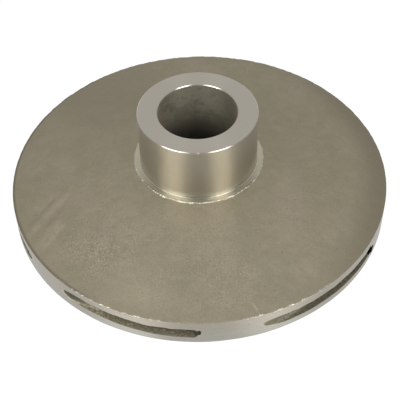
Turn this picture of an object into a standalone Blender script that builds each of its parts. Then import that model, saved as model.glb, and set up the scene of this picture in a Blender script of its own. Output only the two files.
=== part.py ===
# Closed centrifugal pump impeller: a turned boss with a plain bore, a coned back shroud,
# backward-curved vanes, a front shroud and a suction neck. The real one is a single casting,
# so its bodies meet all round with only a hairline between them.
# Metres, +Z up along the shaft towards the boss. The origin is the centre of the neck's end face,
# and the first outlet's blunt end lies at the front, on -Y.

import math

import bpy
from mathutils import Matrix

# Driving dimensions, heights along the shaft from the suction neck's end face
DISC_RADIUS = 0.098
NECK_REACH = 0.0140          # suction neck's end face to the rim's lower edge
FRONT_WALL = 0.0035          # front shroud at the rim
OUTLET_WIDTH = 0.0060
BACK_WALL = 0.0049           # back shroud at the rim
BACK_CONE_RISE = 0.0118      # back face, rim to collar
FRONT_CONE_DROP = 0.0016     # front passage wall, rim to neck
FRONT_WALL_AT_NECK = 0.0042

BORE_RADIUS = 0.0200
BOSS_RADIUS = 0.0304
BOSS_END_ABOVE_RIM = 0.0433  # rim's upper edge to the boss's end face
EDGE_CHAMFER = 0.0008
BORE_CHAMFER = 0.0005
ROOT_FILLET = 0.0010
COLLAR_RADIUS = 0.0337
COLLAR_STEP = 0.0005         # collar face above the cast face beside it
NOSE_RADIUS = 0.0270
NOSE_END = 0.0100
NOSE_FLARE = 0.0095          # length over which the nose widens into the back shroud

EYE_RADIUS = 0.0430
NECK_RADIUS = 0.0490
EYE_ROUNDING = 0.0050
VANE_FOOT_REACH = 148.0      # degrees round the eye's rounding that the vanes sit on

VANE_COUNT = 6
VANE_TIP_ANGLE = math.radians(11.2)     # vane to rim tangent
VANE_ROOT_ANGLE = math.radians(30.0)
VANE_TIP_THICKNESS = 0.0064
VANE_ROOT_THICKNESS = 0.0044
VANE_ROOT_RADIUS = 0.0415
VANE_TIP_POSITION = math.radians(7.1)   # first vane's centre line at the rim, from -Y towards +X
TIP_EDGE = 0.00075                      # the tip is cut back to this thickness, not to a knife edge
TIP_OVERRUN = 0.0030                    # vane outline past the rim, before it is turned flush

FIT_GAP = 0.0003
RIM_STEPS = 96
HUB_STEPS = 72
ARC_STEPS = 5
VANE_STATIONS = 22
MERGE_DISTANCE = 0.00001
SHARP_ANGLE = math.radians(32.0)

# Heights that follow from them
RIM_LOWER = NECK_REACH
OUTLET_LOWER = RIM_LOWER + FRONT_WALL
OUTLET_UPPER = OUTLET_LOWER + OUTLET_WIDTH
RIM_UPPER = OUTLET_UPPER + BACK_WALL
BOSS_END = RIM_UPPER + BOSS_END_ABOVE_RIM
COLLAR_FACE = RIM_UPPER + BACK_CONE_RISE + COLLAR_STEP


def back_passage_height(radius):
    """Height of the back shroud's wet face, parallel to the coned back face."""
    return OUTLET_UPPER + BACK_CONE_RISE * (DISC_RADIUS - radius) / (DISC_RADIUS - COLLAR_RADIUS)


def front_passage_height(radius):
    """Height of the front shroud's wet face."""
    return OUTLET_LOWER - FRONT_CONE_DROP * (DISC_RADIUS - radius) / (DISC_RADIUS - NECK_RADIUS)


def arc(centre, radii, start, end, steps=ARC_STEPS):
    """Points along an elliptical arc in (radius, height); angles in degrees from the radial."""
    points = []
    for step in range(steps + 1):
        angle = math.radians(start + (end - start) * step / steps)
        points.append((centre[0] + radii[0] * math.cos(angle), centre[1] + radii[1] * math.sin(angle)))
    return points


def clear_scene():
    for obj in list(bpy.data.objects):
        bpy.data.objects.remove(obj, do_unlink=True)


def make_collection(name):
    collection = bpy.data.collections.new(name)
    bpy.context.scene.collection.children.link(collection)
    return collection


def metal(name, colour, roughness):
    """Bare metal with the given base colour and roughness."""
    material = bpy.data.materials.new(name)
    material.use_nodes = True
    shader = material.node_tree.nodes["Principled BSDF"]
    shader.inputs["Base Color"].default_value = (*colour, 1.0)
    shader.inputs["Roughness"].default_value = roughness
    shader.inputs["Metallic"].default_value = 1.0
    material.diffuse_color = (*colour, 1.0)
    return material


def evaluated_mesh(obj, name):
    """The object's mesh with its modifiers worked in."""
    bpy.context.view_layer.update()
    graph = bpy.context.evaluated_depsgraph_get()
    mesh = bpy.data.meshes.new_from_object(obj.evaluated_get(graph))
    mesh.name = name
    return mesh


def shade(mesh):
    """Smooth round faces, sharp corners."""
    mesh.shade_smooth()
    mesh.set_sharp_from_angle(angle=SHARP_ANGLE)


def turned_mesh(name, profile, steps, collection):
    """A closed (radius, height) outline turned about Z. It runs down its outer side."""
    outline = bpy.data.meshes.new(name + "_outline")
    points = [(radius, 0.0, height) for radius, height in profile]
    edges = [(index, (index + 1) % len(points)) for index in range(len(points))]
    outline.from_pydata(points, edges, [])
    obj = bpy.data.objects.new(name + "_outline", outline)
    collection.objects.link(obj)
    screw = obj.modifiers.new("Turn", 'SCREW')
    screw.axis = 'Z'
    screw.angle = math.tau
    screw.steps = steps
    screw.render_steps = steps
    screw.use_merge_vertices = True
    screw.merge_threshold = MERGE_DISTANCE
    mesh = evaluated_mesh(obj, name)
    bpy.data.objects.remove(obj, do_unlink=True)
    bpy.data.meshes.remove(outline)
    shade(mesh)
    return mesh


def place(name, mesh, material, collection, axis, turn=0.0):
    """One sub-part on the shaft axis, turned about it by the given angle."""
    obj = bpy.data.objects.new(name, mesh)
    collection.objects.link(obj)
    obj.parent = axis
    obj.rotation_euler = (0.0, 0.0, turn)
    if not mesh.materials:
        mesh.materials.append(material)


def hub_profile():
    """Boss, root fillet, collar land, flared nose and the bore with a chamfer at each mouth."""
    flare_top = back_passage_height(COLLAR_RADIUS)
    flare_width = COLLAR_RADIUS - NOSE_RADIUS
    profile = [(BOSS_RADIUS - EDGE_CHAMFER, BOSS_END), (BOSS_RADIUS, BOSS_END - EDGE_CHAMFER)]
    fillet_centre = (BOSS_RADIUS + ROOT_FILLET, COLLAR_FACE + ROOT_FILLET)
    profile += arc(fillet_centre, (ROOT_FILLET, ROOT_FILLET), 180.0, 270.0, steps=3)
    profile += [(COLLAR_RADIUS, COLLAR_FACE)]
    flare_centre = (COLLAR_RADIUS, flare_top - NOSE_FLARE)
    profile += arc(flare_centre, (flare_width, NOSE_FLARE), 90.0, 180.0)
    profile += [(NOSE_RADIUS, NOSE_END + EDGE_CHAMFER), (NOSE_RADIUS - EDGE_CHAMFER, NOSE_END)]
    profile += [(BORE_RADIUS + BORE_CHAMFER, NOSE_END), (BORE_RADIUS, NOSE_END + BORE_CHAMFER)]
    profile += [(BORE_RADIUS, BOSS_END - BORE_CHAMFER), (BORE_RADIUS + BORE_CHAMFER, BOSS_END)]
    return profile


def back_shroud_profile():
    """Coned disc of even thickness with a turned rim."""
    inner = COLLAR_RADIUS + FIT_GAP
    cast_face = COLLAR_FACE - COLLAR_STEP
    return [
        (inner, cast_face),
        (DISC_RADIUS, RIM_UPPER),
        (DISC_RADIUS, OUTLET_UPPER),
        (inner, back_passage_height(inner)),
    ]


def front_shroud_profile():
    """Thin, slightly coned disc around the suction neck."""
    inner = NECK_RADIUS + FIT_GAP
    wet_face = front_passage_height(inner)
    return [
        (inner, wet_face),
        (DISC_RADIUS, OUTLET_LOWER),
        (DISC_RADIUS, RIM_LOWER),
        (inner, wet_face - FRONT_WALL_AT_NECK),
    ]


def eye_ring_profile():
    """Suction neck: turned outside, with the inner edge rounded where the water turns outward."""
    top = front_passage_height(NECK_RADIUS)
    rounding_centre = (EYE_RADIUS + EYE_ROUNDING, top - EYE_ROUNDING)
    profile = [(NECK_RADIUS, top), (NECK_RADIUS, EDGE_CHAMFER), (NECK_RADIUS - EDGE_CHAMFER, 0.0)]
    profile += [(EYE_RADIUS, 0.0)]
    profile += arc(rounding_centre, (EYE_ROUNDING, EYE_ROUNDING), 180.0, 90.0)
    return profile


def vane_angle(radius):
    """Angle between the vane and the circle at this radius."""
    share = (DISC_RADIUS - radius) / (DISC_RADIUS - VANE_ROOT_RADIUS)
    return VANE_TIP_ANGLE + (VANE_ROOT_ANGLE - VANE_TIP_ANGLE) * max(share, 0.0)


def vane_centre_line():
    """Points (radius, turn) from past the rim to the leading edge, which lies further round."""
    first = DISC_RADIUS + TIP_OVERRUN
    radii = [
        first + (VANE_ROOT_RADIUS - first) * station / VANE_STATIONS
        for station in range(VANE_STATIONS + 1)
    ]
    turns = [0.0]
    for outer, inner in zip(radii, radii[1:]):
        middle = 0.5 * (outer + inner)
        turns.append(turns[-1] + (outer - inner) / (middle * math.tan(vane_angle(middle))))
    at_rim = TIP_OVERRUN / ((DISC_RADIUS + 0.5 * TIP_OVERRUN) * math.tan(VANE_TIP_ANGLE))
    return [(radius, turn - at_rim + VANE_TIP_POSITION) for radius, turn in zip(radii, turns)]


def blunt_tip(inner_side):
    """The side facing the shaft, cut off by a short radial face where the tip gets too thin."""
    land = DISC_RADIUS - TIP_EDGE
    kept = [point for point in inner_side if math.hypot(*point) < land]
    inner, outer = kept[0], inner_side[-len(kept) - 1]
    inner_radius, outer_radius = math.hypot(*inner), math.hypot(*outer)
    share = (land - inner_radius) / (outer_radius - inner_radius)
    foot = [a + (b - a) * share for a, b in zip(inner, outer)]
    head = [value * (DISC_RADIUS + TIP_OVERRUN) / land for value in foot]
    return [tuple(head), tuple(foot)] + kept


def vane_station(radius, turn):
    """Centre, heading of the outward normal, and half thickness of a vane at one radius."""
    share = min(max((DISC_RADIUS - radius) / (DISC_RADIUS - VANE_ROOT_RADIUS), 0.0), 1.0)
    half = 0.5 * (VANE_TIP_THICKNESS + (VANE_ROOT_THICKNESS - VANE_TIP_THICKNESS) * share)
    outward = turn - 0.5 * math.pi
    centre = (radius * math.cos(outward), radius * math.sin(outward))
    return centre, outward + vane_angle(radius), half


def beside(centre, heading, distance):
    """The point at this distance from the centre along the heading."""
    return (centre[0] + distance * math.cos(heading), centre[1] + distance * math.sin(heading))


def vane_outline():
    """Closed outline of one vane seen along the shaft, with a round leading edge."""
    outer_side = []
    inner_side = []
    for radius, turn in vane_centre_line():
        centre, normal, half = vane_station(radius, turn)
        outer_side.append(beside(centre, normal, half))
        inner_side.append(beside(centre, normal, -half))
    edge = [beside(centre, normal + math.pi * step / ARC_STEPS, half) for step in range(1, ARC_STEPS)]
    return outer_side + edge + blunt_tip(inner_side)[::-1]


def vane_blank(collection):
    """The outline drawn up and down far past both shrouds."""
    curve = bpy.data.curves.new("vane_outline", 'CURVE')
    curve.dimensions = '2D'
    curve.fill_mode = 'BOTH'
    curve.extrude = 0.5 * (BOSS_END - NOSE_END)
    outline = vane_outline()
    spline = curve.splines.new('POLY')
    spline.points.add(len(outline) - 1)
    for point, (x, y) in zip(spline.points, outline):
        point.co = (x, y, 0.0, 1.0)
    spline.use_cyclic_u = True
    drawn = bpy.data.objects.new("vane_outline", curve)
    collection.objects.link(drawn)
    mesh = evaluated_mesh(drawn, "vane_blank")
    bpy.data.objects.remove(drawn, do_unlink=True)
    bpy.data.curves.remove(curve)
    mesh.transform(Matrix.Translation((0.0, 0.0, 0.5 * (OUTLET_LOWER + OUTLET_UPPER))))
    return mesh


def vane_mesh(cutter, collection):
    """One vane, trimmed to the passage's faces and turned flush at the rim."""
    blank = vane_blank(collection)
    body = bpy.data.objects.new("vane_blank", blank)
    collection.objects.link(body)
    weld = body.modifiers.new("Weld", 'WELD')
    weld.merge_threshold = MERGE_DISTANCE
    trim = body.modifiers.new("Trim", 'BOOLEAN')
    trim.operation = 'INTERSECT'
    trim.object = cutter
    mesh = evaluated_mesh(body, "vane")
    bpy.data.objects.remove(body, do_unlink=True)
    bpy.data.meshes.remove(blank)
    shade(mesh)
    return mesh


def passage_cutter(collection):
    """The turned space between the shrouds, and over the eye's rounding, that the vanes fill."""
    radius = EYE_ROUNDING + FIT_GAP
    rounding_centre = (EYE_RADIUS + EYE_ROUNDING, front_passage_height(NECK_RADIUS) - EYE_ROUNDING)
    foot = arc(rounding_centre, (radius, radius), 90.0, VANE_FOOT_REACH)
    inner = NOSE_RADIUS
    profile = [
        (inner, back_passage_height(inner) - FIT_GAP),
        (DISC_RADIUS, OUTLET_UPPER - FIT_GAP),
        (DISC_RADIUS, OUTLET_LOWER + FIT_GAP),
        *foot,
        (inner, foot[-1][1]),
    ]
    mesh = turned_mesh("passage", profile, RIM_STEPS, collection)
    cutter = bpy.data.objects.new("passage", mesh)
    collection.objects.link(cutter)
    cutter.hide_render = True
    cutter.display_type = 'WIRE'
    return cutter


def build():
    clear_scene()
    parts = make_collection("pump_impeller")
    cutters = make_collection("cutters")
    axis = bpy.data.objects.new("shaft_axis", None)
    parts.objects.link(axis)

    machined = metal("machined_steel", (0.56, 0.53, 0.48), 0.28)
    turned = metal("turned_neck_steel", (0.55, 0.53, 0.49), 0.32)
    cast_back = metal("cast_back_steel", (0.36, 0.33, 0.26), 0.55)
    cast_front = metal("cast_front_steel", (0.38, 0.35, 0.29), 0.52)
    cast_vane = metal("cast_vane_steel", (0.28, 0.26, 0.20), 0.60)

    hub = turned_mesh("hub", hub_profile(), HUB_STEPS, cutters)
    back = turned_mesh("back_shroud", back_shroud_profile(), RIM_STEPS, cutters)
    front = turned_mesh("front_shroud", front_shroud_profile(), RIM_STEPS, cutters)
    ring = turned_mesh("eye_ring", eye_ring_profile(), HUB_STEPS, cutters)
    vane = vane_mesh(passage_cutter(cutters), cutters)

    place("hub", hub, machined, parts, axis)
    place("back_shroud", back, cast_back, parts, axis)
    place("front_shroud", front, cast_front, parts, axis)
    place("eye_ring", ring, turned, parts, axis)
    for index in range(VANE_COUNT):
        turn = math.tau * index / VANE_COUNT
        place(f"vane_{index + 1}", vane, cast_vane, parts, axis, turn)


build()
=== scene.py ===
# Closed centrifugal pump impeller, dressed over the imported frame: a turned boss, one casting of
# two shrouds and six vanes with its rim turned flush, and a turned suction neck. In metres, with
# +Z up the shaft and the photograph's camera on the -Y side.

import math

import bmesh
import bpy
import numpy as np
from mathutils import Matrix, Quaternion, Vector, noise


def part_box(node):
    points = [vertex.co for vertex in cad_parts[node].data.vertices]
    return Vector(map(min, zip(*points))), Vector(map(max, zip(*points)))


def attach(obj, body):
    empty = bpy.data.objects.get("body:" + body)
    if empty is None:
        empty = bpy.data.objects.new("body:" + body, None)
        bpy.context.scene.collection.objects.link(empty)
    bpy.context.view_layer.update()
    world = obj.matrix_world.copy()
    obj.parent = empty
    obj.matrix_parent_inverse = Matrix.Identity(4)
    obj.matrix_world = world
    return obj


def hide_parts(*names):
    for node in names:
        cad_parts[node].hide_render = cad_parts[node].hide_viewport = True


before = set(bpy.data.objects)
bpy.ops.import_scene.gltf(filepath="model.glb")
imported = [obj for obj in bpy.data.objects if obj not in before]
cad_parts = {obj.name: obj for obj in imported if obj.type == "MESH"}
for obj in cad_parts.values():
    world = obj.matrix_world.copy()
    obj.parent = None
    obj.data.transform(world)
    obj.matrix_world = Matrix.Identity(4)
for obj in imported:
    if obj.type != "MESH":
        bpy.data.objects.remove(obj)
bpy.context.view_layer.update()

MM = 0.001

# Sizes as the solids have them
FRONT_WALL = 3.5 * MM                   # front shroud at the rim
FRONT_WALL_AT_NECK = 4.2 * MM
BACK_WALL = 4.9 * MM                    # back shroud at the rim
BORE_RADIUS = 20.0 * MM
NOSE_RADIUS = 27.0 * MM
NOSE_FLARE = 9.5 * MM                   # length over which the nose widens
COLLAR_STEP = 0.5 * MM
EYE_RADIUS = 43.0 * MM
EYE_ROUNDING = 5.0 * MM
VANE_COUNT = 6
VANE_TIP_ANGLE = math.radians(11.2)     # vane to rim tangent
VANE_ROOT_ANGLE = math.radians(30.0)
VANE_TIP_THICKNESS = 6.4 * MM
VANE_ROOT_THICKNESS = 4.4 * MM
VANE_ROOT_RADIUS = 41.5 * MM
VANE_TIP_POSITION = math.radians(7.1)   # first vane's centre line at the rim, from -Y towards +X

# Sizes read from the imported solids
DISC_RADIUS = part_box("back_shroud")[1].x
CAST_FACE_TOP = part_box("back_shroud")[1].z
OUTLET_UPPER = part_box("back_shroud")[0].z
OUTLET_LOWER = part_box("front_shroud")[1].z
COLLAR_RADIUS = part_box("hub")[1].x
NOSE_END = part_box("hub")[0].z
BOSS_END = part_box("hub")[1].z
NECK_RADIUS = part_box("eye_ring")[1].x
NECK_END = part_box("eye_ring")[0].z
NECK_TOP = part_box("eye_ring")[1].z
VANE_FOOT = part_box("vane_1")[0].z
RIM_UPPER = OUTLET_UPPER + BACK_WALL
RIM_LOWER = OUTLET_LOWER - FRONT_WALL

# The boss, 0.1 mm slimmer than the solid and with finer edges
BOSS_RADIUS = 30.3 * MM
EDGE_CHAMFER = 0.32 * MM
BORE_CHAMFER = 0.4 * MM
ROOT_FILLET = 0.5 * MM
COLLAR_SLOPE = 0.55 * MM     # the collar's land slopes down from this far inside its radius
COLLAR_SPREAD = 0.2 * MM     # to this far outside it, and as far under the cast face
TEAR_WIDTH = 0.32 * MM       # how far its torn edge wanders sideways, and down
TEAR_DEPTH = 0.12 * MM
NICK_REACH = 0.7 * MM

# The neck
NECK_CORNER = 0.6 * MM

# The casting before it is turned
TURNING_STOCK = 0.6 * MM
SHROUD_OVERLAP = 0.7 * MM
VANE_OVERLAP = 1.9 * MM      # vanes into the back shroud, whose wet face is up to 1.2 mm uneven
OUTER_FILLET = 2.9 * MM      # along a vane's outer side
INNER_FILLET = 1.7 * MM
TIP_CORNER = 2.0 * MM
NECK_FILLET = 3.0 * MM
UNDERCUT_DEPTH = 3.0 * MM

# Unevenness of the cast surfaces, in layers of (grain size, height)
CAST_FACE = ((14.0 * MM, 0.20 * MM), (4.0 * MM, 0.10 * MM), (1.6 * MM, 0.07 * MM))
BACK_WET_FACE = ((7.0 * MM, 1.0 * MM), (3.0 * MM, 0.3 * MM))
FRONT_WET_FACE = ((9.0 * MM, 0.40 * MM), (2.6 * MM, 0.16 * MM))
UNDERSIDE = ((14.0 * MM, 0.20 * MM), (4.0 * MM, 0.12 * MM))
VANE_FACE = ((7.0 * MM, 0.16 * MM), (2.4 * MM, 0.10 * MM))
UNDERCUT_FACE = ((1.2 * MM, 0.4 * MM),)
CALM_WIDTH = 4.0 * MM        # the back face grows even over this width at the rim
CALM_SHARE = 0.15            # what is left of its unevenness at the edge

# The rim's worn upper edge, and how near the turned radius a face counts as turned
CHIP_WIDTH = 0.45 * MM
CHIP_DEPTH = 0.3 * MM
CHIP_GRAIN = 3.0 * MM
UPPER_EDGE_FROM = OUTLET_UPPER + 2.0 * MM
CHIP_LEAN = 0.88             # a chip faces up less than this
RIM_METAL_WITHIN = 0.03 * MM
CYLINDER_WITHIN = 0.003 * MM
SLIVER = 0.0005 * MM         # anything finer left by a cut is closed up

# How the six openings differ, as their cores sat in the mould: the turn of each blunt end in
# degrees, how far the tapered end stands up, and the undercut beside the blunt end in millimetres,
# as (distance past the end, half width, half height, rise)
BLUNT_ENDS = (-1.4, 0.3, -0.9, -0.5, -1.2, -0.8)
TAPER_LIFTS = (0.0, 0.5 * MM, -0.3 * MM, 0.7 * MM, 0.2 * MM, 1.2 * MM)
TAPER_PLACE = 0.4                       # share of the way to the next vane
TAPER_LIFT_WIDTH = math.radians(11.0)
LIFT_FROM = 78.0 * MM                   # radius where the lift begins
LIFT_RUN = 14.0 * MM                    # radial run until it is full
LIFT_FADE = 2.4 * MM                    # and the height over which it fades beyond the passage
UNDERCUTS = ((0.35, 1.25, 1.6, 0.8), (1.1, 2.1, 2.6, -1.9), (0.3, 0.6, 1.1, 0.0),
             (0.6, 1.1, 1.8, 0.5), (0.2, 0.7, 1.2, -0.6), (0.5, 1.2, 1.4, 0.0))

# Fineness of the meshes
RING_STEPS = 480
BOSS_STEPS = 600
VANE_LEVELS = 17
VANE_STATIONS = 90
TIP_STATIONS = 14
UNDERCUT_RINGS = 16
UNDERCUT_STEPS = 28

# Metal colours
CAST_OLIVE = (0.395, 0.352, 0.264)
RIM_GREY = (0.363, 0.337, 0.283)
PASSAGE_GREY = (0.45, 0.42, 0.32)
# black of painted shade, for the undercuts
UNDERCUT_SHADE_BLACK = (0.02, 0.02, 0.018)
BORE_GREY = (0.65, 0.61, 0.49)
COLLAR_GREY = (0.54, 0.505, 0.405)
BOSS_GREY = (0.56, 0.53, 0.465)

# Coarser spots of the cast face
COARSE_PATCHES = ((-62.0 * MM, -48.0 * MM), (-49.0 * MM, -58.5 * MM), (-24.5 * MM, -80.0 * MM))
COARSE_REACH = 17.0 * MM

# Areas of painted light and painted shade on the cast face: place, reach, strength, brightness
PAINTED_LIGHT_AND_SHADE_AREAS = (((-31.0 * MM, -84.0 * MM), 26.0 * MM, 0.6, 1.2),
         ((-52.0 * MM, 62.0 * MM), 60.0 * MM, 0.7, 0.82))

# Smears on the cast face: place, heading in degrees, width, length, brightness
# The second and third, darker smears are painted shadow along the first.
SMEARS_AND_PAINTED_SHADOWS = (((-76.6 * MM, -30.2 * MM), 38.0, 4.6 * MM, 44.0 * MM, 1.13),
          ((-79.6 * MM, -27.7 * MM), 38.0, 2.4 * MM, 30.0 * MM, 0.88),
          ((-73.6 * MM, -33.2 * MM), 38.0, 3.0 * MM, 26.0 * MM, 0.87),
          ((-73.5 * MM, -42.5 * MM), 35.0, 8.0 * MM, 22.0 * MM, 1.12),
          ((25.5 * MM, -92.0 * MM), -28.0, 1.6 * MM, 11.0 * MM, 1.35))

# Brightness of the room towards each side
ROOM_IN_FRONT = 0.44
ROOM_BEHIND = 0.66
ROOM_LOW = 0.77
ROOM_HIGH = 1.13
ROOM_LEFT = 1.03
ROOM_RIGHT = 1.02
ROOM_COLOUR = (1.0, 0.985, 0.965, 1.0)

# Softboxes: name, azimuth and elevation in degrees, distance, size, power
SOFTBOXES = (("left_softbox", -47.0, 40.0, 1.3, (0.74, 0.9), 8.3),
             ("right_softbox", 42.0, 40.0, 1.3, (0.6, 0.9), 7.6))

# Table: painted shadow round the neck, and a painted pool of light under each front side
TABLE_GREY = (0.03, 0.03, 0.03)
TABLE_SIZE = 20.0
TABLE_DROP = 0.1 * MM
SHADE_INNER = 56.0 * MM
SHADE_OUTER = 78.0 * MM
POOL_PLACES = ((-55.0 * MM, -122.0 * MM, 0.0), (55.0 * MM, -122.0 * MM, 0.0))
POOL_INNER = 5.0 * MM
POOL_OUTER = 45.0 * MM

# Camera, as fitted to the circles in the photograph. Angles in degrees, focal length in pixels
CAMERA_ELEVATION = 45.14
CAMERA_DIP = 1.637           # how far below the rim's centre it aims
CAMERA_ROLL = -1.4825
CAMERA_DISTANCE = 5.199 * DISC_RADIUS
CAMERA_ASIDE = 0.001 * DISC_RADIUS
FOCAL_LENGTH = 962.8
PICTURE_WIDTH = 400.0
SENSOR_WIDTH = 36.0


def back_passage_height(radius):
    """Height of the back shroud's wet face."""
    rise = CAST_FACE_TOP - RIM_UPPER
    return OUTLET_UPPER + rise * (DISC_RADIUS - radius) / (DISC_RADIUS - COLLAR_RADIUS)


def front_passage_height(radius):
    """Height of the front shroud's wet face, and of the eye's rounding further in."""
    drop = OUTLET_LOWER - NECK_TOP
    cone = OUTLET_LOWER - drop * (DISC_RADIUS - radius) / (DISC_RADIUS - NECK_RADIUS)
    inward = np.clip(EYE_RADIUS + EYE_ROUNDING - radius, 0.0, EYE_ROUNDING)
    fall = EYE_ROUNDING - np.sqrt(EYE_ROUNDING ** 2 - inward ** 2)
    return np.maximum(cone - fall, VANE_FOOT)


def arc(centre, radii, start, end, steps=8):
    """Points along an elliptical arc in (radius, height); angles in degrees from the radial."""
    angles = np.radians(np.linspace(start, end, steps + 1))
    return [(centre[0] + radii[0] * math.cos(angle), centre[1] + radii[1] * math.sin(angle))
            for angle in angles]


def divided(points, spacing):
    """The same closed outline with no side longer than the spacing."""
    result = []
    for (r0, z0), (r1, z1) in zip(points, points[1:] + points[:1]):
        count = max(1, math.ceil(math.hypot(r1 - r0, z1 - z0) / spacing))
        result += [(r0 + (r1 - r0) * i / count, z0 + (z1 - z0) * i / count) for i in range(count)]
    return result


def new_piece(name, vertices, faces):
    """An object with a mesh of its own, in the scene."""
    mesh = bpy.data.meshes.new(name)
    mesh.from_pydata([tuple(v) for v in vertices], [], faces)
    mesh.validate()
    obj = bpy.data.objects.new(name, mesh)
    bpy.context.scene.collection.objects.link(obj)
    return obj


def turned(name, profile, steps):
    """A closed (radius, height) outline turned about Z. It runs down its outer side."""
    rings = np.array(profile)
    turns = np.arange(steps) * math.tau / steps
    x = rings[:, 0, None] * np.cos(turns)
    y = rings[:, 0, None] * np.sin(turns)
    z = np.repeat(rings[:, 1, None], steps, axis=1)
    vertices = np.stack([x, y, z], axis=-1).reshape(-1, 3)
    count = len(profile)
    faces = []
    for ring in range(count):
        below = (ring + 1) % count
        for step in range(steps):
            after = (step + 1) % steps
            faces.append((ring * steps + step, below * steps + step,
                          below * steps + after, ring * steps + after))
    return new_piece(name, vertices, faces)


def ball(name, rings, steps):
    """A closed sphere of radius 1 about the origin, with its poles on Z."""
    vertices = [(0.0, 0.0, 1.0)]
    for ring in range(1, rings):
        polar = math.pi * ring / rings
        for step in range(steps):
            turn = math.tau * step / steps
            vertices.append((math.sin(polar) * math.cos(turn),
                             math.sin(polar) * math.sin(turn),
                             math.cos(polar)))
    vertices.append((0.0, 0.0, -1.0))
    bottom = len(vertices) - 1
    faces = []
    for step in range(steps):
        after = (step + 1) % steps
        faces.append((0, 1 + step, 1 + after))
        for upper in range(1, bottom - steps, steps):
            lower = upper + steps
            faces.append((upper + step, lower + step, lower + after, upper + after))
        last = bottom - steps
        faces.append((last + step, bottom, last + after))
    return new_piece(name, vertices, faces)


def roughen(obj, layers, seed, side=0, calm_rim=False):
    """Moves the surface in and out by layers of (grain size, height) of smooth noise. Side 1 takes
    only what faces up and -1 only what faces down. A calm rim fades out towards the edge."""
    shift = Vector((seed, 2.0 * seed, 3.0 * seed))
    chosen = [v for v in obj.data.vertices if side == 0 or side * v.normal.z > 0.3]
    normals = [vertex.normal.copy() for vertex in chosen]
    for vertex, normal in zip(chosen, normals):
        height = sum(size * noise.noise(vertex.co / grain + shift) for grain, size in layers)
        if calm_rim:
            inside = DISC_RADIUS - math.hypot(vertex.co.x, vertex.co.y)
            height *= min(max(inside / CALM_WIDTH, CALM_SHARE), 1.0)
        vertex.co += normal * height
    obj.data.update()


def chip_edge(obj):
    """Breaks the rim's upper edge unevenly, as a file run round it would."""
    for vertex in obj.data.vertices:
        inside = DISC_RADIUS - math.hypot(vertex.co.x, vertex.co.y)
        if inside < CHIP_WIDTH and vertex.co.z > UPPER_EDGE_FROM:
            fine = noise.noise(vertex.co / (0.4 * CHIP_GRAIN))
            wear = noise.noise(vertex.co / CHIP_GRAIN) + 0.8 * fine
            share = 1.0 - max(inside, 0.0) / CHIP_WIDTH
            vertex.co.z -= CHIP_DEPTH * share * max(0.3 + wear, 0.0)
    obj.data.update()


def smooth_shaded(obj, angle):
    """Smooth shading, broken where faces meet at more than the angle in degrees."""
    obj.data.shade_smooth()
    obj.data.set_sharp_from_angle(angle=math.radians(angle))


def dress(obj, materials, choose):
    """Gives the mesh its materials, and each face the one whose number is chosen for it."""
    obj.data.materials.clear()
    for material in materials:
        obj.data.materials.append(material)
    for face in obj.data.polygons:
        face.material_index = choose(face)


def boss_surface(face):
    """Which material a face of the boss takes: 0 turned, 1 bored, 2 the collar."""
    radius = math.hypot(face.center.x, face.center.y)
    if radius < BORE_RADIUS + 0.01 * MM:
        return 1
    return 2 if radius > BOSS_RADIUS + 0.02 * MM else 0


def boss(materials):
    """Boss, root fillet, collar land, flared nose, and the bore with a chamfer at each mouth."""
    flare_top = back_passage_height(COLLAR_RADIUS)
    collar_face = CAST_FACE_TOP + COLLAR_STEP
    profile = [(BOSS_RADIUS - EDGE_CHAMFER, BOSS_END), (BOSS_RADIUS, BOSS_END - EDGE_CHAMFER)]
    fillet_centre = (BOSS_RADIUS + ROOT_FILLET, collar_face + ROOT_FILLET)
    profile += [(BOSS_RADIUS, fillet_centre[1] + 0.1 * MM)]
    profile += arc(fillet_centre, (ROOT_FILLET, ROOT_FILLET), 180, 270)
    profile += [(fillet_centre[0] + 0.1 * MM, collar_face)]
    profile += [(COLLAR_RADIUS - COLLAR_SLOPE, collar_face)]
    profile += [(COLLAR_RADIUS + COLLAR_SPREAD, CAST_FACE_TOP - COLLAR_SPREAD)]
    profile += [(COLLAR_RADIUS, CAST_FACE_TOP - 1.5 * MM)]
    flare_centre = (COLLAR_RADIUS, flare_top - NOSE_FLARE)
    profile += arc(flare_centre, (COLLAR_RADIUS - NOSE_RADIUS, NOSE_FLARE), 90, 180, 12)
    profile += [(NOSE_RADIUS, NOSE_END + EDGE_CHAMFER), (NOSE_RADIUS - EDGE_CHAMFER, NOSE_END)]
    profile += [(BORE_RADIUS + BORE_CHAMFER, NOSE_END), (BORE_RADIUS, NOSE_END + BORE_CHAMFER)]
    profile += [(BORE_RADIUS, BOSS_END - BORE_CHAMFER), (BORE_RADIUS + BORE_CHAMFER, BOSS_END)]
    piece = turned("boss", divided(profile, 4.0 * MM), BOSS_STEPS)
    ragged_collar(piece)
    nick_edge(piece)
    dress(piece, materials, boss_surface)
    smooth_shaded(piece, 20)
    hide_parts("hub")
    return piece


def ragged_collar(obj):
    """Tears the line where the turned collar runs out into the cast skin."""
    for vertex in obj.data.vertices:
        radius = math.hypot(vertex.co.x, vertex.co.y)
        if vertex.co.z > CAST_FACE_TOP - 0.5 * MM and radius > COLLAR_RADIUS - 0.8 * MM:
            tear = noise.noise(vertex.co / (1.3 * MM)) + 1.5 * noise.noise(vertex.co / (0.8 * MM))
            vertex.co.xy *= 1.0 + TEAR_WIDTH * tear / radius
            vertex.co.z -= TEAR_DEPTH * abs(tear)
    obj.data.update()


def nick_edge(obj):
    """A small bruise on the front of the boss's end edge."""
    place = Vector((-0.4 * MM, -BOSS_RADIUS, BOSS_END))
    for vertex in obj.data.vertices:
        inside = NICK_REACH - (vertex.co - place).length
        if inside > 0.0:
            vertex.co.z -= 0.25 * inside
            vertex.co.y += 0.15 * inside
    obj.data.update()


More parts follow.
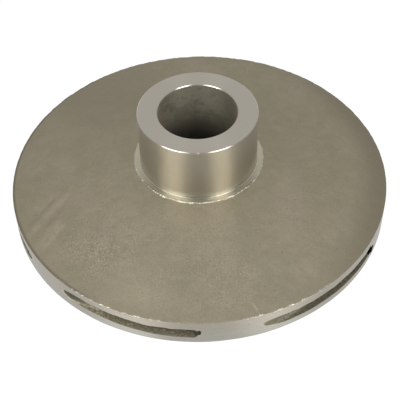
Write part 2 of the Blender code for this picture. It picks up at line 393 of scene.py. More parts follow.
def suction_neck(material):
    """Turned neck with its inner edge rounded where the water turns outward."""
    profile = [(NECK_RADIUS, NECK_TOP - 0.3 * MM), (NECK_RADIUS, NECK_END + NECK_CORNER)]
    profile += [(NECK_RADIUS - NECK_CORNER, NECK_END), (EYE_RADIUS + NECK_CORNER, NECK_END)]
    profile += [(EYE_RADIUS, NECK_END + NECK_CORNER)]
    rounding_centre = (EYE_RADIUS + EYE_ROUNDING, NECK_TOP - EYE_ROUNDING)
    profile += arc(rounding_centre, (EYE_ROUNDING, EYE_ROUNDING), 180, 90, 12)
    profile += [(NECK_RADIUS - 0.3 * MM, NECK_TOP)]
    piece = turned("suction_neck", divided(profile, 3.0 * MM), BOSS_STEPS)
    piece.data.materials.append(material)
    smooth_shaded(piece, 20)
    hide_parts("eye_ring")
    return piece


def back_blank():
    """The back shroud as cast, with stock left on its rim."""
    inner = COLLAR_RADIUS - SHROUD_OVERLAP
    outer = DISC_RADIUS + TURNING_STOCK
    slope = (CAST_FACE_TOP - RIM_UPPER) / (DISC_RADIUS - COLLAR_RADIUS)
    radii = np.append(np.arange(inner, DISC_RADIUS - 1.0 * MM, 1.2 * MM),
                      [DISC_RADIUS - 0.8 * MM, DISC_RADIUS - 0.4 * MM, DISC_RADIUS, outer])
    top = [(r, RIM_UPPER + slope * (DISC_RADIUS - r)) for r in radii]
    wet = [(r, back_passage_height(r)) for r in np.linspace(outer, inner, 30)]
    piece = turned("back_blank", top + wet, RING_STEPS)
    roughen(piece, CAST_FACE, 3.1, 1, calm_rim=True)
    roughen(piece, BACK_WET_FACE, 5.3, -1)
    chip_edge(piece)
    return piece


def front_blank():
    """The front shroud as cast, with stock on its rim and a fillet towards the neck."""
    inner = NECK_RADIUS - SHROUD_OVERLAP
    outer = DISC_RADIUS + TURNING_STOCK
    wet = divided([(inner, float(front_passage_height(inner))),
                   (outer, float(front_passage_height(outer)))], 2.0 * MM)
    wet = wet[:len(wet) // 2 + 1]
    under_neck = NECK_TOP - FRONT_WALL_AT_NECK
    fillet_centre = (NECK_RADIUS + NECK_FILLET, under_neck - NECK_FILLET)
    under = divided([(outer, RIM_LOWER), (NECK_RADIUS + NECK_FILLET, under_neck)], 2.2 * MM)
    under = under[:len(under) // 2]
    under += arc(fillet_centre, (NECK_FILLET, NECK_FILLET), 90, 170, 6)
    under += [(inner, under_neck - NECK_FILLET)]
    piece = turned("front_blank", wet + under, RING_STEPS)
    roughen(piece, FRONT_WET_FACE, 7.7, 1)
    roughen(piece, UNDERSIDE, 2.9, -1)
    return piece


def vane_angle(radius):
    """Angle between the vane and the circle at this radius."""
    share = np.clip((DISC_RADIUS - radius) / (DISC_RADIUS - VANE_ROOT_RADIUS), 0.0, None)
    return VANE_TIP_ANGLE + (VANE_ROOT_ANGLE - VANE_TIP_ANGLE) * share


def centre_line(samples=500):
    """Radii and turns of a vane's centre line, from outside the rim to the leading edge."""
    radii = np.linspace(DISC_RADIUS + 8.0 * MM, VANE_ROOT_RADIUS, samples)
    middle = 0.5 * (radii[1:] + radii[:-1])
    steps = (radii[:-1] - radii[1:]) / (middle * np.tan(vane_angle(middle)))
    turns = np.concatenate([[0.0], np.cumsum(steps)])
    at_rim = np.interp(-DISC_RADIUS, -radii, turns)
    return radii, turns - at_rim + VANE_TIP_POSITION


def half_thickness(radii):
    """Half a vane's thickness at these radii."""
    share = np.clip((DISC_RADIUS - radii) / (DISC_RADIUS - VANE_ROOT_RADIUS), 0.0, 1.0)
    return 0.5 * (VANE_TIP_THICKNESS + (VANE_ROOT_THICKNESS - VANE_TIP_THICKNESS) * share)


def fillet_growth(distance, fillet):
    """How far a fillet stands out of the vane at this distance from the shroud's face."""
    fallen = np.clip(fillet - distance, 0.0, fillet)
    return fillet - np.sqrt(fillet ** 2 - fallen ** 2)


def vane_layer(level, reach, blunt_end):
    """One closed outline of a vane. Level runs from 0 at the front wet face to 1 at the back one,
    reach goes beyond them, into the shroud, and the blunt end is a turn from the vane's own."""
    radii, turns = centre_line()
    height = back_passage_height(radii) - front_passage_height(radii)
    distance = np.minimum(level, 1.0 - level) * height
    outer_half = half_thickness(radii) + fillet_growth(distance, OUTER_FILLET)
    inner_half = half_thickness(radii) + fillet_growth(distance, INNER_FILLET)
    angle = vane_angle(radii)
    outward = np.stack([np.sin(turns), -np.cos(turns)], axis=1)
    along = np.stack([np.cos(turns), np.sin(turns)], axis=1)
    normal = outward * np.cos(angle)[:, None] + along * np.sin(angle)[:, None]
    middle = outward * radii[:, None]
    outer = middle + normal * outer_half[:, None]
    inner = middle - normal * inner_half[:, None]

    # Where each side starts: the outer one at the rim's stock, the inner one at the blunt end
    index = np.arange(len(radii))
    cut = DISC_RADIUS + TURNING_STOCK
    outer_start = np.interp(-cut, -np.hypot(*outer.T), index)
    blunt = blunt_end - fillet_growth(distance[0:1], TIP_CORNER)[0] / DISC_RADIUS
    inner_turn = np.unwrap(np.arctan2(inner[:, 0], -inner[:, 1]))
    inner_start = np.interp(blunt, inner_turn, index)

    # In along the outer side, round the leading edge, out along the inner side, and over the tip
    stations = np.linspace(0.0, 1.0, VANE_STATIONS)
    outline = list(sampled(outer, outer_start + (index[-1] - outer_start) * stations))
    outline += leading_edge(middle[-1], normal[-1], outer_half[-1], inner_half[-1])
    outline += list(sampled(inner, inner_start + (index[-1] - inner_start) * stations[::-1]))
    outer_turn = math.atan2(outline[0][0], -outline[0][1])
    for turn in np.linspace(blunt, outer_turn, TIP_STATIONS)[:-1]:
        outline.append((cut * math.sin(turn), -cut * math.cos(turn)))
    outline = np.array(outline)
    radius = np.hypot(*outline.T)
    low, high = front_passage_height(radius), back_passage_height(radius)
    heights = low + (high - low) * level + reach
    return np.column_stack([outline, heights])


def sampled(points, places):
    """Points read at fractional places along a polyline."""
    index = np.arange(len(points))
    return np.stack([np.interp(places, index, points[:, k]) for k in (0, 1)], axis=1)


def leading_edge(centre, normal, outer_half, inner_half, steps=10):
    """Round end of a vane, from its outer side to its inner side."""
    heading = math.atan2(normal[1], normal[0])
    points = []
    for step in range(1, steps):
        share = step / steps
        radius = outer_half + (inner_half - outer_half) * share
        angle = heading + math.pi * share
        points.append((centre[0] + radius * math.cos(angle), centre[1] + radius * math.sin(angle)))
    return points


def vane_blank(index):
    """One vane with fillets top and bottom, reaching into both shrouds."""
    levels = 0.5 - 0.5 * np.cos(np.linspace(0.0, math.pi, VANE_LEVELS))
    blunt_end = math.radians(BLUNT_ENDS[index])
    layers = [vane_layer(0.0, -SHROUD_OVERLAP, blunt_end)]
    layers += [vane_layer(level, 0.0, blunt_end) for level in levels]
    layers += [vane_layer(1.0, VANE_OVERLAP, blunt_end)]
    count = len(layers[0])
    turn = index * math.tau / VANE_COUNT
    spin = np.array([[math.cos(turn), -math.sin(turn), 0.0],
                     [math.sin(turn), math.cos(turn), 0.0],
                     [0.0, 0.0, 1.0]])
    vertices = np.concatenate(layers) @ spin.T
    faces = []
    for layer in range(len(layers) - 1):
        for point in range(count):
            after = (point + 1) % count
            low, high = layer * count, (layer + 1) * count
            faces.append((low + point, low + after, high + after, high + point))
    last = (len(layers) - 1) * count
    faces.append(tuple(reversed(range(count))))
    faces.append(tuple(range(last, last + count)))
    piece = new_piece(f"vane_blank_{index + 1}", vertices, faces)
    roughen(piece, VANE_FACE, 11.3)
    return piece


def combine(base, others, operation):
    """Joins or cuts the base mesh with the others, which are then removed."""
    for other in others:
        modifier = base.modifiers.new(operation, 'BOOLEAN')
        modifier.operation = operation
        modifier.solver = 'MANIFOLD'
        modifier.object = other
    bpy.context.view_layer.update()
    graph = bpy.context.evaluated_depsgraph_get()
    mesh = bpy.data.meshes.new_from_object(base.evaluated_get(graph))
    base.modifiers.clear()
    base.data = mesh
    for other in others:
        bpy.data.objects.remove(other, do_unlink=True)


def shells_of(mesh):
    """The faces of an edit mesh in groups that hang together, the largest group last."""
    seen = set()
    shells = []
    for start in mesh.faces:
        shell = [] if start in seen else [start]
        seen.add(start)
        for face in shell:
            joined = [other for edge in face.edges for other in edge.link_faces]
            beside = dict.fromkeys(other for other in joined if other not in seen)
            seen.update(beside)
            shell += beside
        shells.append(shell)
    return sorted(shells, key=len)


def drop_slivers(obj):
    """Keeps the one large shell, and drops closed slivers and folded faces that the cuts leave."""
    mesh = bmesh.new()
    mesh.from_mesh(obj.data)
    small = [face for shell in shells_of(mesh)[:-1] for face in shell]
    bmesh.ops.delete(mesh, geom=small, context='FACES')
    bmesh.ops.remove_doubles(mesh, verts=mesh.verts, dist=SLIVER)
    for _ in range(2):
        bmesh.ops.dissolve_degenerate(mesh, edges=mesh.edges, dist=SLIVER)
        bmesh.ops.triangulate(mesh, faces=mesh.faces)
    twins = {}
    for face in mesh.faces:
        twins.setdefault(frozenset(face.verts), []).append(face)
    folded = [face for pair in twins.values() if len(pair) > 1 for face in pair]
    bmesh.ops.delete(mesh, geom=folded, context='FACES')
    mesh.to_mesh(obj.data)
    mesh.free()


def turning_tool():
    """The cylinder that the rim is turned to."""
    margin = 10.0 * MM
    half_step = math.pi / RING_STEPS
    bpy.ops.mesh.primitive_cylinder_add(
        vertices=RING_STEPS, radius=DISC_RADIUS, depth=BOSS_END + 2.0 * margin,
        location=(0.0, 0.0, 0.5 * BOSS_END), rotation=(0.0, 0.0, half_step))
    return bpy.context.object


def undercut_centre(index):
    """A point just inside the rim, past the blunt end of an opening."""
    past, _, _, rise = UNDERCUTS[index]
    turn = math.radians(BLUNT_ENDS[index]) + past * MM / DISC_RADIUS + index * math.tau / VANE_COUNT
    radius = DISC_RADIUS - 0.5 * MM
    height = 0.5 * (OUTLET_LOWER + OUTLET_UPPER) + rise * MM
    return Vector((radius * math.sin(turn), -radius * math.cos(turn), height))


def undercut(index):
    """A small cavity beside the blunt end of an opening, where the vane's tip is thinnest."""
    piece = ball(f"undercut_{index + 1}", UNDERCUT_RINGS, UNDERCUT_STEPS)
    centre = undercut_centre(index)
    _, half_width, half_height, _ = UNDERCUTS[index]
    stretch = Matrix.Diagonal((half_width * MM, UNDERCUT_DEPTH, half_height * MM, 1.0))
    piece.data.transform(stretch)
    piece.data.transform(Matrix.Translation(centre)
                         @ Matrix.Rotation(math.atan2(centre.x, -centre.y), 4, 'Z'))
    piece.data.update()
    roughen(piece, UNDERCUT_FACE, 1.7)
    return piece


def shift_cores(obj):
    """Raises or lowers each opening towards its tapered end, the way its core sat in the mould."""
    middle = 0.5 * (OUTLET_LOWER + OUTLET_UPPER)
    flat = 0.5 * (OUTLET_UPPER - OUTLET_LOWER) + 1.0 * MM
    for vertex in obj.data.vertices:
        x, y, z = vertex.co
        near_rim = min(max((math.hypot(x, y) - LIFT_FROM) / LIFT_RUN, 0.0), 1.0)
        near_middle = min(max((flat + LIFT_FADE - abs(z - middle)) / LIFT_FADE, 0.0), 1.0)
        if near_rim * near_middle > 0.0:
            for index, lift in enumerate(TAPER_LIFTS):
                tail = (index + TAPER_PLACE) * math.tau / VANE_COUNT
                turn = (math.atan2(x, -y) - tail + math.pi) % math.tau - math.pi
                bell = math.exp(-0.5 * (turn / TAPER_LIFT_WIDTH) ** 2)
                vertex.co.z += lift * bell * near_rim * near_middle
    obj.data.update()


def sharpen_rim(obj):
    """Shades the turned cylinder apart from the cast and chipped faces that meet it."""
    mesh = bmesh.new()
    mesh.from_mesh(obj.data)
    on_cylinder = {}
    for face in mesh.faces:
        innermost = min(math.hypot(vertex.co.x, vertex.co.y) for vertex in face.verts)
        on_cylinder[face] = innermost > DISC_RADIUS - CYLINDER_WITHIN
    for edge in mesh.edges:
        if len({on_cylinder[face] for face in edge.link_faces}) == 2:
            edge.smooth = False
    mesh.to_mesh(obj.data)
    mesh.free()


def casting_surface(face):
    """Which material a face of the casting takes: 0 cast skin, 1 turned rim, 2 wet passage,
    3 an undercut, black as painted shade."""
    x, y, z = face.center
    radius = math.hypot(x, y)
    at_edge = radius > DISC_RADIUS - CHIP_WIDTH and z > UPPER_EDGE_FROM
    if radius > DISC_RADIUS - RIM_METAL_WITHIN or (at_edge and face.normal.z < CHIP_LEAN):
        return 1
    for index, (_, half_width, half_height, _) in enumerate(UNDERCUTS):
        away = face.center - undercut_centre(index)
        if abs(away.z) < (half_height + 0.3) * MM and away.xy.length < (half_width + 1.0) * MM:
            return 3
    margin = 1.5 * MM
    if front_passage_height(radius) - margin < z < back_passage_height(radius) + margin:
        return 2
    return 0


def casting(materials):
    """Both shrouds and the vanes as one casting, with the rim turned flush."""
    piece = back_blank()
    piece.name = "shrouds_and_vanes"
    combine(piece, [front_blank()] + [vane_blank(i) for i in range(VANE_COUNT)], 'UNION')
    combine(piece, [turning_tool()], 'INTERSECT')
    combine(piece, [undercut(i) for i in range(VANE_COUNT)], 'DIFFERENCE')
    drop_slivers(piece)
    dress(piece, materials, casting_surface)
    shift_cores(piece)
    smooth_shaded(piece, 40)
    sharpen_rim(piece)
    vanes = [f"vane_{i + 1}" for i in range(VANE_COUNT)]
    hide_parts("back_shroud", "front_shroud", *vanes)
    return piece


class Shading:
    """A metal whose node tree is built by short calls. Sizes are in metres on the object."""

    def __init__(self, name, colour, roughness, anisotropy=0.0):
        self.material = bpy.data.materials.new(name)
        self.material.use_nodes = True
        self.tree = self.material.node_tree
        self.shader = self.tree.nodes["Principled BSDF"]
        self.base = (*colour, 1.0)
        self.shader.inputs["Base Color"].default_value = self.base
        self.shader.inputs["Roughness"].default_value = roughness
        self.shader.inputs["Metallic"].default_value = 1.0
        self.shader.inputs["Anisotropic"].default_value = anisotropy
        self.directions = self.node("TexCoord")
        self.place = self.directions.outputs["Object"]

    def node(self, kind, inputs=None, **settings):
        """Adds a node, with a number or another node's output on each named input."""
        node = self.tree.nodes.new("ShaderNode" + kind)
        for name, value in settings.items():
            setattr(node, name, value)
        for socket, value in (inputs or {}).items():
            if isinstance(value, bpy.types.NodeSocket):
                self.tree.links.new(value, node.inputs[socket])
            else:
                node.inputs[socket].default_value = value
        return node

    def link(self, socket, value):
        """Links another node's output to the shader."""
        self.tree.links.new(value, self.shader.inputs[socket])

    def stretched(self, scale):
        """Object coordinates times a scale for each axis."""
        return self.node("VectorMath", {0: self.place, 1: scale}, operation='MULTIPLY').outputs[0]

    def radius(self):
        """Distance from the shaft's axis."""
        flat = self.stretched((1.0, 1.0, 0.0))
        return self.node("VectorMath", {0: flat}, operation='LENGTH').outputs["Value"]

    def axis(self, name, vector=None):
        """One coordinate of the place on the object, or of another vector."""
        return self.node("SeparateXYZ", {"Vector": vector or self.place}).outputs[name]

    def facing_up(self):
        """1 where the surface faces up, 0 where it is upright and -1 where it faces down."""
        return self.axis("Z", self.directions.outputs["Normal"])

    def grain(self, size, detail=2.0, place=None):
        """Noise from 0 to 1 with spots about as wide as the size."""
        return self.node("TexNoise", {"Vector": place or self.place, "Scale": 1.0 / size,
                                      "Detail": detail, "Roughness": 0.6}).outputs["Fac"]

    def ramp(self, value, low, high, to_low=0.0, to_high=1.0):
        """Value from low..high moved to to_low..to_high, smooth and clamped."""
        inputs = {"Value": value, "From Min": low, "From Max": high,
                  "To Min": to_low, "To Max": to_high}
        return self.node("MapRange", inputs, interpolation_type='SMOOTHSTEP').outputs["Result"]

    def times(self, first, second):
        """The product of two values."""
        return self.node("Math", {0: first, 1: second}, operation='MULTIPLY').outputs[0]

    def plus(self, first, second):
        """The sum of two values."""
        return self.node("Math", {0: first, 1: second}, operation='ADD').outputs[0]

    def unsigned(self, value):
        """The value without its sign."""
        return self.node("Math", {0: value}, operation='ABSOLUTE').outputs[0]

    def specks(self, spacing, size, rarity):
        """Round specks in some of the cells, from 0 between them to 1 in their middle."""
        cells = self.node("TexVoronoi", {"Vector": self.place, "Scale": 1.0 / spacing})
        chosen = self.node("SeparateColor", {"Color": cells.outputs["Color"]}).outputs["Red"]
        spots = self.ramp(cells.outputs["Distance"], size, 0.4 * size)
        return self.times(spots, self.ramp(chosen, rarity, rarity + 0.1))

    def near(self, place, reach):
        """1 at a place on the face, falling to 0 at the reach from it."""
        flat = self.stretched((1.0, 1.0, 0.0))
        away = self.node("VectorMath", {0: flat, 1: (*place, 0.0)}, operation='DISTANCE')
        return self.ramp(away.outputs["Value"], reach, 0.0)

    def smear(self, place, heading, width, length):
        """A streak with broken edges, its heading in degrees clockwise from Y."""
        turned = self.node("VectorRotate", {"Vector": self.place, "Center": (*place, 0.0),
                                            "Angle": math.radians(heading)}, rotation_type='Z_AXIS')
        moved = self.node("VectorMath", {0: turned.outputs["Vector"], 1: (*place, 0.0)},
                          operation='SUBTRACT').outputs[0]
        across = self.unsigned(self.axis("X", moved))
        along = self.unsigned(self.axis("Y", moved))
        body = self.times(self.ramp(across, 0.5 * width, 0.2 * width),
                          self.ramp(along, 0.5 * length, 0.25 * length))
        return self.times(body, self.ramp(self.grain(3.0 * MM, 3.0), 0.35, 0.6, 0.3, 1.0))

    def mix(self, factor, first, second):
        """Colours mixed by a factor."""
        return self.node("Mix", {0: factor, 6: first, 7: second}, data_type='RGBA').outputs[2]

    def bump(self, height, distance, below=None):
        """Normals bent by a height from 0 to 1 times a distance, over another bump."""
        inputs = {"Height": height, "Distance": distance, "Strength": 1.0}
        if below:
            inputs["Normal"] = below
        return self.node("Bump", inputs).outputs["Normal"]

    def turned_about_z(self):
        """Runs the gloss across the tool marks of a part turned about Z."""
        tangent = self.node("Tangent", direction_type='RADIAL', axis='Z').outputs["Tangent"]
        self.link("Tangent", tangent)
        self.shader.inputs["Anisotropic Rotation"].default_value = 0.25


def shade_of(colour, factor):
    """The colour made brighter or darker."""
    return (*[channel * factor for channel in colour[:3]], 1.0)


def cast_skin():
    """Blasted sand casting: olive grey, rougher at the front, with specks, pores and scrapes."""
    skin = Shading("cast_skin", CAST_OLIVE, 0.45)
    base = skin.base
    green = (base[0] * 0.94, base[1] * 0.96, base[2] * 0.92, 1.0)
    patches = skin.ramp(skin.grain(26.0 * MM, 3.0), 0.38, 0.62)
    colour = skin.mix(patches, green, shade_of(base, 1.03))
    in_front = skin.near((-20.0 * MM, -80.0 * MM), 85.0 * MM)
    uneven = skin.ramp(skin.grain(30.0 * MM, 2.0), 0.40, 0.62, 0.5, 1.0)
    rough_zone = skin.times(uneven, skin.ramp(in_front, 0.0, 1.0, 0.32, 0.62))
    for place in COARSE_PATCHES:
        rough_zone = skin.plus(rough_zone, skin.times(skin.near(place, COARSE_REACH), 0.5))
    fine = skin.grain(0.7 * MM, 3.0)
    dark_grains = skin.times(skin.ramp(fine, 0.48, 0.34), rough_zone)
    colour = skin.mix(dark_grains, colour, shade_of(base, 0.62))
    light_grains = skin.times(skin.ramp(fine, 0.54, 0.70), rough_zone)
    colour = skin.mix(light_grains, colour, shade_of(base, 1.5))
    blotches = skin.grain(6.0 * MM, 4.0)
    dull_blotches = skin.ramp(blotches, 0.50, 0.36, 0.0, 0.25)
    colour = skin.mix(dull_blotches, colour, shade_of(base, 0.86))
    pale_blotches = skin.ramp(blotches, 0.52, 0.66, 0.0, 0.25)
    colour = skin.mix(pale_blotches, colour, shade_of(base, 1.14))
    pores = skin.specks(2.3 * MM, 0.15, 0.78)
    colour = skin.mix(skin.times(pores, 0.6), colour, shade_of(base, 0.5))
    glints = skin.specks(3.1 * MM, 0.10, 0.72)
    colour = skin.mix(skin.times(glints, 0.5), colour, shade_of(base, 1.6))
    on_top = skin.ramp(skin.facing_up(), 0.0, 0.3)
    # smears, the darker two beside the first being painted shadow
    for place, heading, width, length, brightness in SMEARS_AND_PAINTED_SHADOWS:
        smear = skin.times(skin.smear(place, heading, width, length), on_top)
        colour = skin.mix(smear, colour, shade_of(base, brightness))
    # painted light on the front left of the cast face, painted shade at its back left
    for place, reach, strength, brightness in PAINTED_LIGHT_AND_SHADE_AREAS:
        area = skin.times(skin.near(place, reach), strength)
        colour = skin.mix(area, colour, shade_of(base, brightness))
    # painted shade: darker and greener towards the rim
    near_rim = skin.ramp(skin.radius(), 86.0 * MM, 97.0 * MM, 0.0, 0.3)
    colour = skin.mix(near_rim, colour, shade_of(green, 0.87))
    across = skin.axis("X")
    # painted shade towards the right edge of the cast face
    on_right = skin.ramp(across, 45.0 * MM, 92.0 * MM)
    painted_shade_on_right = skin.times(on_right, skin.ramp(skin.radius(), 78.0 * MM, 96.0 * MM, 0.0, 0.75))
    colour = skin.mix(painted_shade_on_right, colour, shade_of(base, 0.68))
    # painted shadow: a dark line along the rim's edge on the left
    painted_shadow_line = skin.times(skin.ramp(skin.radius(), 96.2 * MM, 97.6 * MM),
                            skin.ramp(across, -46.0 * MM, -62.0 * MM, 0.0, 0.7))
    colour = skin.mix(painted_shadow_line, colour, shade_of(base, 0.45))
    skin.link("Base Color", colour)
    skin.link("Roughness", skin.ramp(skin.grain(5.0 * MM), 0.3, 0.7, 0.41, 0.49))
    normal = skin.bump(skin.grain(1.1 * MM, 4.0), 0.09 * MM)
    skin.link("Normal", skin.bump(pores, -0.2 * MM, normal))
    return skin.material


def turned_rim():
    """Rim turned across cast metal: fine rings and scuffs, warmer above the openings than below."""
    rim = Shading("turned_rim", RIM_GREY, 0.36, 0.6)
    rim.turned_about_z()
    height = rim.axis("Z")
    below = rim.ramp(height, OUTLET_UPPER, OUTLET_LOWER)
    grey = (rim.base[0], rim.base[1] * 1.045, rim.base[2] * 1.11, 1.0)
    colour = rim.mix(below, rim.base, grey)
    off_middle = rim.unsigned(rim.axis("X"))
    # painted shade where the rim turns away at either side
    painted_shade_at_sides = rim.ramp(off_middle, 68.0 * MM, 92.0 * MM, 0.0, 0.35)
    colour = rim.mix(painted_shade_at_sides, colour, shade_of(rim.base, 0.6))
    rings = rim.grain(0.35 * MM, 2.0, rim.stretched((0.03, 0.03, 1.0)))
    colour = rim.mix(rim.ramp(rings, 0.50, 0.70, 0.0, 0.5), colour, shade_of(rim.base, 1.12))
    colour = rim.mix(rim.ramp(rings, 0.50, 0.30, 0.0, 0.5), colour, shade_of(rim.base, 0.86))
    scuffs = rim.ramp(rim.grain(2.2 * MM, 4.0), 0.60, 0.72, 0.0, 0.5)
    colour = rim.mix(scuffs, colour, shade_of(rim.base, 0.80))
    # front left and front right, where the softboxes catch the upper edge
    wear_and_glint_zones = rim.times(rim.ramp(off_middle, 12.0 * MM, 26.0 * MM),
                     rim.ramp(off_middle, 64.0 * MM, 46.0 * MM))
    upper_edge = rim.times(rim.ramp(height, RIM_UPPER - 1.0 * MM, RIM_UPPER - 0.4 * MM), wear_and_glint_zones)
    wear = rim.grain(0.8 * MM, 2.0)
    # painted glints: pale dots along the upper edge, over its bumped burr
    bright = rim.times(rim.ramp(wear, 0.42, 0.58, 0.15, 0.8), upper_edge)
    rim.link("Base Color", rim.mix(bright, colour, shade_of(rim.base, 1.9)))
    burr = rim.times(wear, upper_edge)
    rim.link("Normal", rim.bump(burr, 0.4 * MM, rim.bump(rings, 0.02 * MM)))
    return rim.material


def wet_cast():
    """Passage wall: rough, mottled, painted shade near the rim, a painted highlight at its lip."""
    wall = Shading("wet_cast", PASSAGE_GREY, 0.7)
    mottle = wall.ramp(wall.grain(1.0 * MM, 3.0), 0.36, 0.66)
    colour = wall.mix(mottle, shade_of(wall.base, 0.72), shade_of(wall.base, 1.30))
    stains = wall.ramp(wall.grain(6.0 * MM, 3.0), 0.48, 0.62, 0.0, 0.5)
    colour = wall.mix(stains, colour, shade_of(wall.base, 0.75))
    near_rim = wall.ramp(wall.radius(), DISC_RADIUS - 5.0 * MM, DISC_RADIUS - 1.0 * MM)
    across = wall.axis("X")
    # painted shade near the rim, more of it towards the right
    painted_shade_near_rim = wall.times(near_rim, wall.ramp(across, -60.0 * MM, 50.0 * MM, 0.0, 0.55))
    colour = wall.mix(painted_shade_near_rim, colour, shade_of(wall.base, 0.42))
    # upright walls near the rim made darker still, most on the left
    upright = wall.ramp(wall.unsigned(wall.facing_up()), 0.95, 0.7)
    darker_upright_walls = wall.times(upright, wall.ramp(across, -60.0 * MM, 40.0 * MM, 1.0, 0.4))
    colour = wall.mix(wall.times(near_rim, darker_upright_walls), colour, shade_of(wall.base, 0.30))
    # painted highlight along the lip where the passage meets the rim
    lip = wall.ramp(wall.radius(), DISC_RADIUS - 0.35 * MM, DISC_RADIUS - 0.08 * MM)
    colour = wall.mix(lip, colour, shade_of(wall.base, 1.2))
    wall.link("Base Color", colour)
    wall.link("Normal", wall.bump(wall.grain(1.0 * MM, 3.0), 0.2 * MM))
    return wall.material


def undercut_painted_shade():
    """Black of painted shade in a small cavity."""
    # painted shade: the undercut's faces are black
    undercut_shade = Shading("undercut_painted_shade", UNDERCUT_SHADE_BLACK, 0.9)
    undercut_shade.link("Normal", undercut_shade.bump(undercut_shade.grain(0.6 * MM), 0.1 * MM))
    return undercut_shade.material


def bored_steel():
    """Dull wall of the bore with fine tool marks, in painted shade further down and on the right.
    """
    bore = Shading("bored_steel", BORE_GREY, 0.52, 0.4)
    bore.turned_about_z()
    # painted shade deeper down the bore
    depth = bore.ramp(bore.axis("Z"), BOSS_END - 15.0 * MM, BOSS_END - 37.0 * MM, 0.0, 0.9)
    colour = bore.mix(depth, bore.base, shade_of(bore.base, 0.15))
    marks = bore.grain(2.0 * MM, 4.0)
    colour = bore.mix(bore.ramp(marks, 0.5, 0.7, 0.0, 0.4), colour, shade_of(bore.base, 0.5))
    # painted shade on the right of the bore
    on_right = bore.ramp(bore.axis("X"), 2.0 * MM, 18.0 * MM, 0.0, 0.5)
    colour = bore.mix(on_right, colour, shade_of(bore.base, 0.45))
    clouds = bore.grain(11.0 * MM, 3.0)
    colour = bore.mix(bore.ramp(clouds, 0.5, 0.62, 0.0, 0.35), colour, shade_of(bore.base, 0.5))
    bore.link("Base Color", colour)
    bore.link("Normal", bore.bump(marks, 0.03 * MM))
    return bore.material


def faced_collar():
    """Dull, warm collar land between a bright root fillet and a torn outer edge that glints."""
    collar = Shading("faced_collar", COLLAR_GREY, 0.4, 0.3)
    collar.turned_about_z()
    radius = collar.radius()
    marks = collar.grain(0.5 * MM, 3.0)
    dark = collar.ramp(marks, 0.50, 0.36, 0.0, 0.5)
    colour = collar.mix(dark, collar.base, shade_of(collar.base, 0.75))
    off_middle = collar.unsigned(collar.axis("X"))
    at_front = collar.ramp(off_middle, 30.0 * MM, 16.0 * MM)
    # painted reflection makes the land lighter at the sides, painted shade darker at the front
    colour = collar.mix(at_front, shade_of(collar.base, 1.1), colour)
    colour = collar.mix(collar.times(at_front, 0.6), colour, shade_of(collar.base, 0.72))
    outermost = collar.ramp(radius, COLLAR_RADIUS - 0.9 * MM, COLLAR_RADIUS - 0.6 * MM)
    at_edge = collar.times(outermost, collar.ramp(off_middle, 31.0 * MM, 25.0 * MM))
    colour = collar.mix(at_edge, colour, shade_of(collar.base, 0.8))
    collar.link("Base Color", colour)
    past_root = collar.ramp(radius, BOSS_RADIUS + 0.45 * MM, BOSS_RADIUS + 0.7 * MM, 0.15, 0.38)
    collar.link("Roughness", collar.plus(past_root, collar.times(at_edge, -0.14)))
    torn = collar.times(collar.grain(0.8 * MM, 2.0), at_edge)
    collar.link("Normal", collar.bump(torn, 0.25 * MM, collar.bump(marks, 0.05 * MM)))
    return collar.material


def machined_steel():
    """Finely turned stainless steel."""
    steel = Shading("machined_steel", BOSS_GREY, 0.26, 0.85)
    steel.turned_about_z()
    rings = steel.grain(1.5 * MM, 1.0, steel.stretched((0.02, 0.02, 1.0)))
    colour = steel.mix(rings, shade_of(steel.base, 0.97), shade_of(steel.base, 1.03))
    steel.link("Base Color", colour)
    steel.link("Roughness", steel.ramp(steel.grain(14.0 * MM, 0.0), 0.3, 0.7, 0.25, 0.27))
    return steel.material


def floor():
    """A table that glows white, brightest in front on each side and dark under the impeller."""
    bpy.ops.mesh.primitive_plane_add(size=TABLE_SIZE, location=(0.0, 0.0, NECK_END - TABLE_DROP))
    plane = bpy.context.object
    plane.name = "table"
    table = Shading("white_table", TABLE_GREY, 0.9)
    table.shader.inputs["Metallic"].default_value = 0.0
    table.shader.inputs["Specular IOR Level"].default_value = 0.0
    table.shader.inputs["Emission Color"].default_value = (1.0, 1.0, 1.0, 1.0)
    # painted shadow: the glow fades out under the impeller
    shade = table.ramp(table.radius(), SHADE_INNER, SHADE_OUTER)
    # painted pools of light where the softboxes shine onto the table
    pools = 1.0
    for centre in POOL_PLACES:
        away = table.node("VectorMath", {0: table.place, 1: centre}, operation='DISTANCE')
        pool = table.ramp(away.outputs["Value"], POOL_OUTER, POOL_INNER, 0.0, 0.75)
        pools = table.plus(pool, pools)
    table.link("Emission Strength", table.times(shade, pools))
    plane.data.materials.append(table.material)


def softbox(name, azimuth, elevation, distance, size, power):
    """An area light that faces the impeller. Azimuth 0 is the camera's side."""
    light = bpy.data.lights.new(name, 'AREA')
    light.shape = 'RECTANGLE'
    light.size, light.size_y = size
    light.energy = power
    obj = bpy.data.objects.new(name, light)
    bpy.context.scene.collection.objects.link(obj)
    turn, rise = math.radians(azimuth), math.radians(elevation)
    away = Vector((math.sin(turn) * math.cos(rise),
                   -math.cos(turn) * math.cos(rise),
                   math.sin(rise)))
    target = Vector((0.0, 0.0, RIM_UPPER))
    obj.location = target + away * distance
    obj.rotation_euler = away.to_track_quat('Z', 'Y').to_euler()


def world_ramp(tree, value, low, high, to_low, to_high):
    """Value from low..high moved to to_low..to_high and clamped."""
    ramp = tree.nodes.new("ShaderNodeMapRange")
    ramp.inputs["From Min"].default_value = low
    ramp.inputs["From Max"].default_value = high
    ramp.inputs["To Min"].default_value = to_low
    ramp.inputs["To Max"].default_value = to_high
    tree.links.new(value, ramp.inputs["Value"])
    return ramp.outputs["Result"]


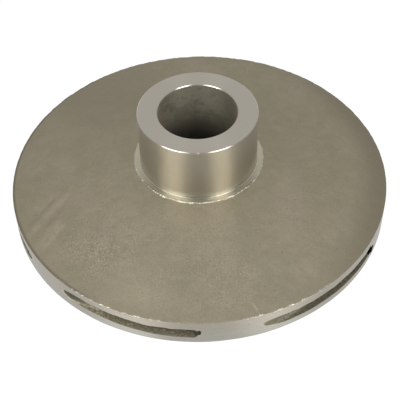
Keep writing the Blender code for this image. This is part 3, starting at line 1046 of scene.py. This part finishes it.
def light_room():
    """A pale room, brighter behind and above the impeller, and two softboxes in front of it."""
    world = bpy.data.worlds.new("studio")
    bpy.context.scene.world = world
    world.use_nodes = True
    tree = world.node_tree
    background = tree.nodes["Background"]
    direction = tree.nodes.new("ShaderNodeTexCoord")
    parts = tree.nodes.new("ShaderNodeSeparateXYZ")
    tree.links.new(direction.outputs["Generated"], parts.inputs["Vector"])
    depth = world_ramp(tree, parts.outputs["Y"], -0.6, 0.5, ROOM_IN_FRONT, ROOM_BEHIND)
    rise = world_ramp(tree, parts.outputs["Z"], 0.35, 0.95, ROOM_LOW, ROOM_HIGH)
    side = world_ramp(tree, parts.outputs["X"], -0.6, 0.6, ROOM_LEFT, ROOM_RIGHT)
    strength = depth
    for factor in (rise, side):
        product = tree.nodes.new("ShaderNodeMath")
        product.operation = 'MULTIPLY'
        tree.links.new(strength, product.inputs[0])
        tree.links.new(factor, product.inputs[1])
        strength = product.outputs["Value"]
    tree.links.new(strength, background.inputs["Strength"])
    background.inputs["Color"].default_value = ROOM_COLOUR
    for settings in SOFTBOXES:
        softbox(*settings)


def camera():
    """The photograph's view, from the front and 45 degrees above the rim."""
    elevation = math.radians(CAMERA_ELEVATION)
    tilt = math.radians(CAMERA_ELEVATION + CAMERA_DIP)
    data = bpy.data.cameras.new("camera")
    data.sensor_width = SENSOR_WIDTH
    data.lens = SENSOR_WIDTH * FOCAL_LENGTH / PICTURE_WIDTH
    data.clip_start = 0.01
    data.clip_end = 20.0
    obj = bpy.data.objects.new("camera", data)
    bpy.context.scene.collection.objects.link(obj)
    obj.location = (CAMERA_ASIDE, -CAMERA_DISTANCE * math.cos(elevation),
                    RIM_UPPER + CAMERA_DISTANCE * math.sin(elevation))
    ahead = Vector((0.0, math.cos(tilt), -math.sin(tilt)))
    aim = ahead.to_track_quat('-Z', 'Y')
    obj.rotation_mode = 'QUATERNION'
    obj.rotation_quaternion = aim @ Quaternion((0.0, 0.0, 1.0), math.radians(CAMERA_ROLL))
    bpy.context.scene.camera = obj


def main():
    """Builds the three pieces, puts them on the frame's one body, and sets the stage."""
    machined = machined_steel()
    boss_piece = boss([machined, bored_steel(), faced_collar()])
    neck_piece = suction_neck(machined)
    casting_piece = casting([cast_skin(), turned_rim(), wet_cast(), undercut_painted_shade()])
    for piece in (boss_piece, neck_piece, casting_piece):
        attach(piece, "root")
    floor()
    light_room()
    camera()
    bpy.context.scene.view_settings.view_transform = 'Standard'


main()
